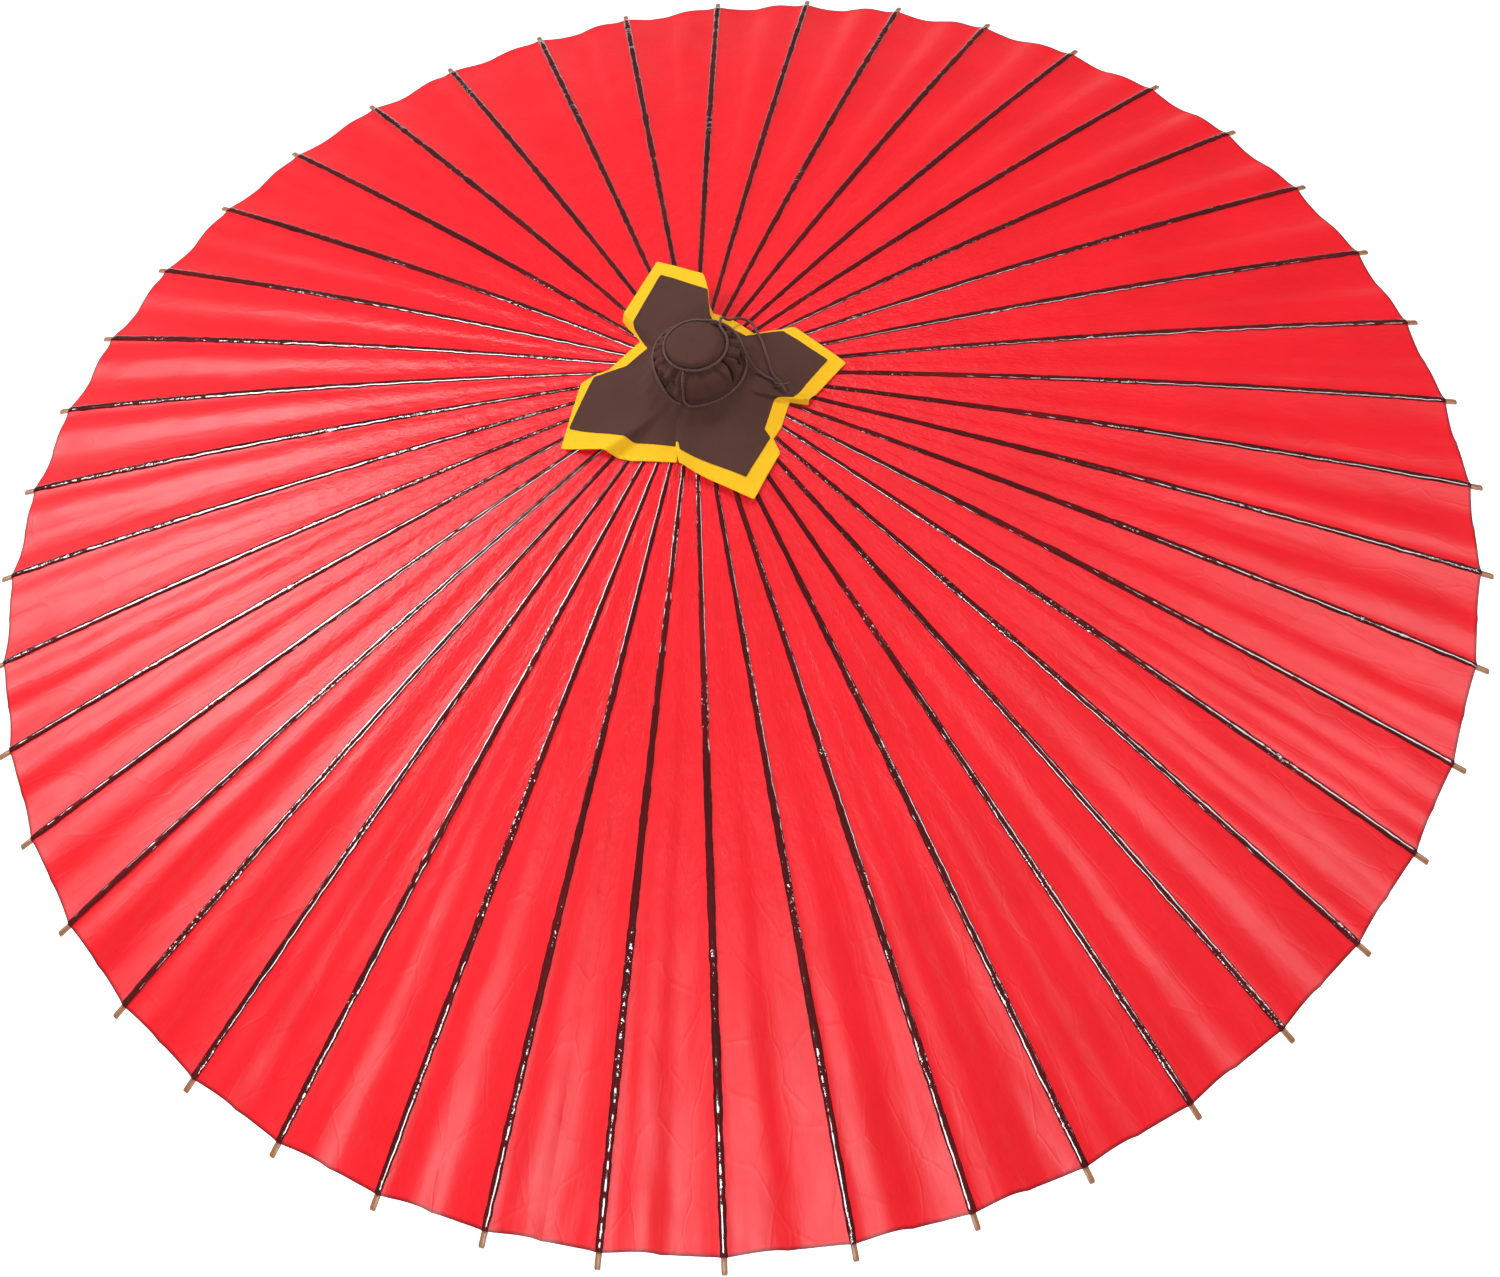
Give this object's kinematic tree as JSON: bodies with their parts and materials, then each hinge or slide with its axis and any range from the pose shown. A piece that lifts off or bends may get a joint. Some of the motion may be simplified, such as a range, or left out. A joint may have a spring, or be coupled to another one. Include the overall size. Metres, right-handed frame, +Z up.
{
  "type": "oil paper umbrella",
  "caption": "Large oiled-paper umbrella: hinged bamboo ribs on a turned hub, sliding strut runner, red paper canopy, tied cloth head cover and two-part pole.",
  "frame": {"origin": "centre of the foot of the pole, on the face it stands on", "axes": "+Z up the pole; the picture looks from -Y, above, so +X is to its right"},
  "size_m": [1.7786, 1.7786, 2.2],
  "materials": {
    "pole_lacquer": "dark red-brown lacquer",
    "brass": "satin",
    "turned_wood": "turned and oiled",
    "bamboo": "split bamboo, oiled",
    "thread": "waxed thread",
    "oiled_paper": "vermilion oiled paper",
    "brown_cloth": "plain woven cotton",
    "yellow_cloth": "plain woven cotton",
    "cord": "braided cord"
  },
  "bodies": {
    "base": {"lower_pole": "pole_lacquer", "foot_ferrule": "brass", "joint_sleeve": "brass"},
    "umbrella_pole": {"upper_pole": "pole_lacquer", "head_hub": "turned_wood", "hub_thread": "thread", "runner_catch": "brass", "canopy": "oiled_paper", "rim_thread": "thread", "head_cover": "brown_cloth", "head_cover_lining": "yellow_cloth", "cover_cord_upper": "cord", "cover_cord_lower": "cord"},
    "runner": {"runner": "turned_wood", "strut_set": "bamboo"},
    "rib_body_01": {"rib_01": "bamboo"},
    "rib_body_02": {"rib_02": "bamboo"},
    "rib_body_03": {"rib_03": "bamboo"},
    "rib_body_04": {"rib_04": "bamboo"},
    "rib_body_05": {"rib_05": "bamboo"},
    "rib_body_06": {"rib_06": "bamboo"},
    "rib_body_07": {"rib_07": "bamboo"},
    "rib_body_08": {"rib_08": "bamboo"},
    "rib_body_09": {"rib_09": "bamboo"},
    "rib_body_10": {"rib_10": "bamboo"},
    "rib_body_11": {"rib_11": "bamboo"},
    "rib_body_12": {"rib_12": "bamboo"},
    "rib_body_13": {"rib_13": "bamboo"},
    "rib_body_14": {"rib_14": "bamboo"},
    "rib_body_15": {"rib_15": "bamboo"},
    "rib_body_16": {"rib_16": "bamboo"},
    "rib_body_17": {"rib_17": "bamboo"},
    "rib_body_18": {"rib_18": "bamboo"},
    "rib_body_19": {"rib_19": "bamboo"},
    "rib_body_20": {"rib_20": "bamboo"},
    "rib_body_21": {"rib_21": "bamboo"},
    "rib_body_22": {"rib_22": "bamboo"},
    "rib_body_23": {"rib_23": "bamboo"},
    "rib_body_24": {"rib_24": "bamboo"},
    "rib_body_25": {"rib_25": "bamboo"},
    "rib_body_26": {"rib_26": "bamboo"},
    "rib_body_27": {"rib_27": "bamboo"},
    "rib_body_28": {"rib_28": "bamboo"},
    "rib_body_29": {"rib_29": "bamboo"},
    "rib_body_30": {"rib_30": "bamboo"},
    "rib_body_31": {"rib_31": "bamboo"},
    "rib_body_32": {"rib_32": "bamboo"},
    "rib_body_33": {"rib_33": "bamboo"},
    "rib_body_34": {"rib_34": "bamboo"},
    "rib_body_35": {"rib_35": "bamboo"},
    "rib_body_36": {"rib_36": "bamboo"},
    "rib_body_37": {"rib_37": "bamboo"},
    "rib_body_38": {"rib_38": "bamboo"},
    "rib_body_39": {"rib_39": "bamboo"},
    "rib_body_40": {"rib_40": "bamboo"},
    "rib_body_41": {"rib_41": "bamboo"},
    "rib_body_42": {"rib_42": "bamboo"},
    "rib_body_43": {"rib_43": "bamboo"},
    "rib_body_44": {"rib_44": "bamboo"}
  },
  "joints": [
    {"name": "pole_lift", "type": "slide", "parent": "base", "child": "umbrella_pole", "axis": [0, 0, 1], "range_m": [0, 0.06]},
    {"name": "runner_slide", "type": "slide", "parent": "umbrella_pole", "child": "runner", "axis": [0, 0, -1], "range_m": [0, 0.5], "deforming": ["strut_set", "canopy", "rim_thread", "head_cover", "head_cover_lining", "cover_cord_lower", "runner_catch"]},
    {"name": "rib_hinge_01", "type": "hinge", "parent": "umbrella_pole", "child": "rib_body_01", "pos_m": [0.03097, -0.01402, 2.138], "axis": [0.4125, 0.911, 0], "range_deg": [0, 67.95]},
    {"name": "rib_hinge_02", "type": "hinge", "parent": "umbrella_pole", "child": "rib_body_02", "pos_m": [0.02857, -0.01843, 2.138], "axis": [0.5422, 0.8403, 0], "range_deg": [0, 67.95]},
    {"name": "rib_hinge_03", "type": "hinge", "parent": "umbrella_pole", "child": "rib_body_03", "pos_m": [0.02581, -0.02213, 2.138], "axis": [0.651, 0.7591, 0], "range_deg": [0, 67.95]},
    {"name": "rib_hinge_04", "type": "hinge", "parent": "umbrella_pole", "child": "rib_body_04", "pos_m": [0.02238, -0.0256, 2.138], "axis": [0.7529, 0.6581, 0], "range_deg": [0, 67.95]},
    {"name": "rib_hinge_05", "type": "hinge", "parent": "umbrella_pole", "child": "rib_body_05", "pos_m": [0.01842, -0.02858, 2.138], "axis": [0.8404, 0.5419, 0], "range_deg": [0, 67.95]},
    {"name": "rib_hinge_06", "type": "hinge", "parent": "umbrella_pole", "child": "rib_body_06", "pos_m": [0.01407, -0.03095, 2.138], "axis": [0.9103, 0.4139, 0], "range_deg": [0, 67.95]},
    {"name": "rib_hinge_07", "type": "hinge", "parent": "umbrella_pole", "child": "rib_body_07", "pos_m": [0.00943, -0.03266, 2.138], "axis": [0.9607, 0.2775, 0], "range_deg": [0, 67.95]},
    {"name": "rib_hinge_08", "type": "hinge", "parent": "umbrella_pole", "child": "rib_body_08", "pos_m": [0.00476, -0.03367, 2.138], "axis": [0.9902, 0.14, 0], "range_deg": [0, 67.95]},
    {"name": "rib_hinge_09", "type": "hinge", "parent": "umbrella_pole", "child": "rib_body_09", "pos_m": [-0.00003, -0.034, 2.138], "axis": [1, -0.0008, 0], "range_deg": [0, 67.95]},
    {"name": "rib_hinge_10", "type": "hinge", "parent": "umbrella_pole", "child": "rib_body_10", "pos_m": [-0.00508, -0.03362, 2.138], "axis": [0.9888, -0.1493, 0], "range_deg": [0, 67.95]},
    {"name": "rib_hinge_11", "type": "hinge", "parent": "umbrella_pole", "child": "rib_body_11", "pos_m": [-0.00989, -0.03253, 2.138], "axis": [0.9567, -0.291, 0], "range_deg": [0, 67.95]},
    {"name": "rib_hinge_12", "type": "hinge", "parent": "umbrella_pole", "child": "rib_body_12", "pos_m": [-0.01427, -0.03086, 2.138], "axis": [0.9076, -0.4198, 0], "range_deg": [0, 67.95]},
    {"name": "rib_hinge_13", "type": "hinge", "parent": "umbrella_pole", "child": "rib_body_13", "pos_m": [-0.01841, -0.02858, 2.138], "axis": [0.8406, -0.5416, 0], "range_deg": [0, 67.95]},
    {"name": "rib_hinge_14", "type": "hinge", "parent": "umbrella_pole", "child": "rib_body_14", "pos_m": [-0.0223, -0.02566, 2.138], "axis": [0.7548, -0.656, 0], "range_deg": [0, 67.95]},
    {"name": "rib_hinge_15", "type": "hinge", "parent": "umbrella_pole", "child": "rib_body_15", "pos_m": [-0.02572, -0.02224, 2.138], "axis": [0.6541, -0.7564, 0], "range_deg": [0, 67.95]},
    {"name": "rib_hinge_16", "type": "hinge", "parent": "umbrella_pole", "child": "rib_body_16", "pos_m": [-0.02859, -0.01839, 2.138], "axis": [0.541, -0.841, 0], "range_deg": [0, 67.95]},
    {"name": "rib_hinge_17", "type": "hinge", "parent": "umbrella_pole", "child": "rib_body_17", "pos_m": [-0.03093, -0.01413, 2.138], "axis": [0.4155, -0.9096, 0], "range_deg": [0, 67.95]},
    {"name": "rib_hinge_18", "type": "hinge", "parent": "umbrella_pole", "child": "rib_body_18", "pos_m": [-0.03262, -0.0096, 2.138], "axis": [0.2823, -0.9593, 0], "range_deg": [0, 67.95]},
    {"name": "rib_hinge_19", "type": "hinge", "parent": "umbrella_pole", "child": "rib_body_19", "pos_m": [-0.03365, -0.00485, 2.138], "axis": [0.1426, -0.9898, 0], "range_deg": [0, 67.95]},
    {"name": "rib_hinge_20", "type": "hinge", "parent": "umbrella_pole", "child": "rib_body_20", "pos_m": [-0.034, -0.00007, 2.138], "axis": [0.002, -1, 0], "range_deg": [0, 67.95]},
    {"name": "rib_hinge_21", "type": "hinge", "parent": "umbrella_pole", "child": "rib_body_21", "pos_m": [-0.03366, 0.00479, 2.138], "axis": [-0.141, -0.99, 0], "range_deg": [0, 67.95]},
    {"name": "rib_hinge_22", "type": "hinge", "parent": "umbrella_pole", "child": "rib_body_22", "pos_m": [-0.03261, 0.00963, 2.138], "axis": [-0.2833, -0.959, 0], "range_deg": [0, 67.95]},
    {"name": "rib_hinge_23", "type": "hinge", "parent": "umbrella_pole", "child": "rib_body_23", "pos_m": [-0.0309, 0.01419, 2.138], "axis": [-0.4172, -0.9088, 0], "range_deg": [0, 67.95]},
    {"name": "rib_hinge_24", "type": "hinge", "parent": "umbrella_pole", "child": "rib_body_24", "pos_m": [-0.02867, 0.01827, 2.138], "axis": [-0.5373, -0.8434, 0], "range_deg": [0, 67.95]},
    {"name": "rib_hinge_25", "type": "hinge", "parent": "umbrella_pole", "child": "rib_body_25", "pos_m": [-0.02581, 0.02213, 2.138], "axis": [-0.651, -0.7591, 0], "range_deg": [0, 67.95]},
    {"name": "rib_hinge_26", "type": "hinge", "parent": "umbrella_pole", "child": "rib_body_26", "pos_m": [-0.02242, 0.02556, 2.138], "axis": [-0.7517, -0.6595, 0], "range_deg": [0, 67.95]},
    {"name": "rib_hinge_27", "type": "hinge", "parent": "umbrella_pole", "child": "rib_body_27", "pos_m": [-0.01858, 0.02848, 2.138], "axis": [-0.8375, -0.5464, 0], "range_deg": [0, 67.95]},
    {"name": "rib_hinge_28", "type": "hinge", "parent": "umbrella_pole", "child": "rib_body_28", "pos_m": [-0.01431, 0.03084, 2.138], "axis": [-0.9071, -0.4209, 0], "range_deg": [0, 67.95]},
    {"name": "rib_hinge_29", "type": "hinge", "parent": "umbrella_pole", "child": "rib_body_29", "pos_m": [-0.00996, 0.03251, 2.138], "axis": [-0.9562, -0.2929, 0], "range_deg": [0, 67.95]},
    {"name": "rib_hinge_30", "type": "hinge", "parent": "umbrella_pole", "child": "rib_body_30", "pos_m": [-0.00501, 0.03363, 2.138], "axis": [-0.9891, -0.1474, 0], "range_deg": [0, 67.95]},
    {"name": "rib_hinge_31", "type": "hinge", "parent": "umbrella_pole", "child": "rib_body_31", "pos_m": [-0.00026, 0.034, 2.138], "axis": [-1, -0.0076, 0], "range_deg": [0, 67.95]},
    {"name": "rib_hinge_32", "type": "hinge", "parent": "umbrella_pole", "child": "rib_body_32", "pos_m": [0.00471, 0.03367, 2.138], "axis": [-0.9903, 0.1386, 0], "range_deg": [0, 67.95]},
    {"name": "rib_hinge_33", "type": "hinge", "parent": "umbrella_pole", "child": "rib_body_33", "pos_m": [0.0094, 0.03267, 2.138], "axis": [-0.961, 0.2766, 0], "range_deg": [0, 67.95]},
    {"name": "rib_hinge_34", "type": "hinge", "parent": "umbrella_pole", "child": "rib_body_34", "pos_m": [0.01402, 0.03097, 2.138], "axis": [-0.911, 0.4125, 0], "range_deg": [0, 67.95]},
    {"name": "rib_hinge_35", "type": "hinge", "parent": "umbrella_pole", "child": "rib_body_35", "pos_m": [0.0183, 0.02865, 2.138], "axis": [-0.8427, 0.5384, 0], "range_deg": [0, 67.95]},
    {"name": "rib_hinge_36", "type": "hinge", "parent": "umbrella_pole", "child": "rib_body_36", "pos_m": [0.02228, 0.02568, 2.138], "axis": [-0.7554, 0.6553, 0], "range_deg": [0, 67.95]},
    {"name": "rib_hinge_37", "type": "hinge", "parent": "umbrella_pole", "child": "rib_body_37", "pos_m": [0.02569, 0.02227, 2.138], "axis": [-0.6551, 0.7556, 0], "range_deg": [0, 67.95]},
    {"name": "rib_hinge_38", "type": "hinge", "parent": "umbrella_pole", "child": "rib_body_38", "pos_m": [0.02861, 0.01836, 2.138], "axis": [-0.5401, 0.8416, 0], "range_deg": [0, 67.95]},
    {"name": "rib_hinge_39", "type": "hinge", "parent": "umbrella_pole", "child": "rib_body_39", "pos_m": [0.03096, 0.01406, 2.138], "axis": [-0.4136, 0.9105, 0], "range_deg": [0, 67.95]},
    {"name": "rib_hinge_40", "type": "hinge", "parent": "umbrella_pole", "child": "rib_body_40", "pos_m": [0.03267, 0.0094, 2.138], "axis": [-0.2765, 0.961, 0], "range_deg": [0, 67.95]},
    {"name": "rib_hinge_41", "type": "hinge", "parent": "umbrella_pole", "child": "rib_body_41", "pos_m": [0.03366, 0.00477, 2.138], "axis": [-0.1403, 0.9901, 0], "range_deg": [0, 67.95]},
    {"name": "rib_hinge_42", "type": "hinge", "parent": "umbrella_pole", "child": "rib_body_42", "pos_m": [0.034, -0.00005, 2.138], "axis": [0.0015, 1, 0], "range_deg": [0, 67.95]},
    {"name": "rib_hinge_43", "type": "hinge", "parent": "umbrella_pole", "child": "rib_body_43", "pos_m": [0.03365, -0.00488, 2.138], "axis": [0.1434, 0.9897, 0], "range_deg": [0, 67.95]},
    {"name": "rib_hinge_44", "type": "hinge", "parent": "umbrella_pole", "child": "rib_body_44", "pos_m": [0.03266, -0.00947, 2.138], "axis": [0.2785, 0.9604, 0], "range_deg": [0, 67.95]}
  ],
  "couplings": [
    {"joint": "rib_hinge_01", "follows": "runner_slide", "rad_per_m": 2.3667},
    {"joint": "rib_hinge_02", "follows": "runner_slide", "rad_per_m": 2.3667},
    {"joint": "rib_hinge_03", "follows": "runner_slide", "rad_per_m": 2.3667},
    {"joint": "rib_hinge_04", "follows": "runner_slide", "rad_per_m": 2.3667},
    {"joint": "rib_hinge_05", "follows": "runner_slide", "rad_per_m": 2.3667},
    {"joint": "rib_hinge_06", "follows": "runner_slide", "rad_per_m": 2.3667},
    {"joint": "rib_hinge_07", "follows": "runner_slide", "rad_per_m": 2.3667},
    {"joint": "rib_hinge_08", "follows": "runner_slide", "rad_per_m": 2.3667},
    {"joint": "rib_hinge_09", "follows": "runner_slide", "rad_per_m": 2.3667},
    {"joint": "rib_hinge_10", "follows": "runner_slide", "rad_per_m": 2.3667},
    {"joint": "rib_hinge_11", "follows": "runner_slide", "rad_per_m": 2.3667},
    {"joint": "rib_hinge_12", "follows": "runner_slide", "rad_per_m": 2.3667},
    {"joint": "rib_hinge_13", "follows": "runner_slide", "rad_per_m": 2.3667},
    {"joint": "rib_hinge_14", "follows": "runner_slide", "rad_per_m": 2.3667},
    {"joint": "rib_hinge_15", "follows": "runner_slide", "rad_per_m": 2.3667},
    {"joint": "rib_hinge_16", "follows": "runner_slide", "rad_per_m": 2.3667},
    {"joint": "rib_hinge_17", "follows": "runner_slide", "rad_per_m": 2.3667},
    {"joint": "rib_hinge_18", "follows": "runner_slide", "rad_per_m": 2.3667},
    {"joint": "rib_hinge_19", "follows": "runner_slide", "rad_per_m": 2.3667},
    {"joint": "rib_hinge_20", "follows": "runner_slide", "rad_per_m": 2.3667},
    {"joint": "rib_hinge_21", "follows": "runner_slide", "rad_per_m": 2.3667},
    {"joint": "rib_hinge_22", "follows": "runner_slide", "rad_per_m": 2.3667},
    {"joint": "rib_hinge_23", "follows": "runner_slide", "rad_per_m": 2.3667},
    {"joint": "rib_hinge_24", "follows": "runner_slide", "rad_per_m": 2.3667},
    {"joint": "rib_hinge_25", "follows": "runner_slide", "rad_per_m": 2.3667},
    {"joint": "rib_hinge_26", "follows": "runner_slide", "rad_per_m": 2.3667},
    {"joint": "rib_hinge_27", "follows": "runner_slide", "rad_per_m": 2.3667},
    {"joint": "rib_hinge_28", "follows": "runner_slide", "rad_per_m": 2.3667},
    {"joint": "rib_hinge_29", "follows": "runner_slide", "rad_per_m": 2.3667},
    {"joint": "rib_hinge_30", "follows": "runner_slide", "rad_per_m": 2.3667},
    {"joint": "rib_hinge_31", "follows": "runner_slide", "rad_per_m": 2.3667},
    {"joint": "rib_hinge_32", "follows": "runner_slide", "rad_per_m": 2.3667},
    {"joint": "rib_hinge_33", "follows": "runner_slide", "rad_per_m": 2.3667},
    {"joint": "rib_hinge_34", "follows": "runner_slide", "rad_per_m": 2.3667},
    {"joint": "rib_hinge_35", "follows": "runner_slide", "rad_per_m": 2.3667},
    {"joint": "rib_hinge_36", "follows": "runner_slide", "rad_per_m": 2.3667},
    {"joint": "rib_hinge_37", "follows": "runner_slide", "rad_per_m": 2.3667},
    {"joint": "rib_hinge_38", "follows": "runner_slide", "rad_per_m": 2.3667},
    {"joint": "rib_hinge_39", "follows": "runner_slide", "rad_per_m": 2.3667},
    {"joint": "rib_hinge_40", "follows": "runner_slide", "rad_per_m": 2.3667},
    {"joint": "rib_hinge_41", "follows": "runner_slide", "rad_per_m": 2.3667},
    {"joint": "rib_hinge_42", "follows": "runner_slide", "rad_per_m": 2.3667},
    {"joint": "rib_hinge_43", "follows": "runner_slide", "rad_per_m": 2.3667},
    {"joint": "rib_hinge_44", "follows": "runner_slide", "rad_per_m": 2.3667}
  ]
}
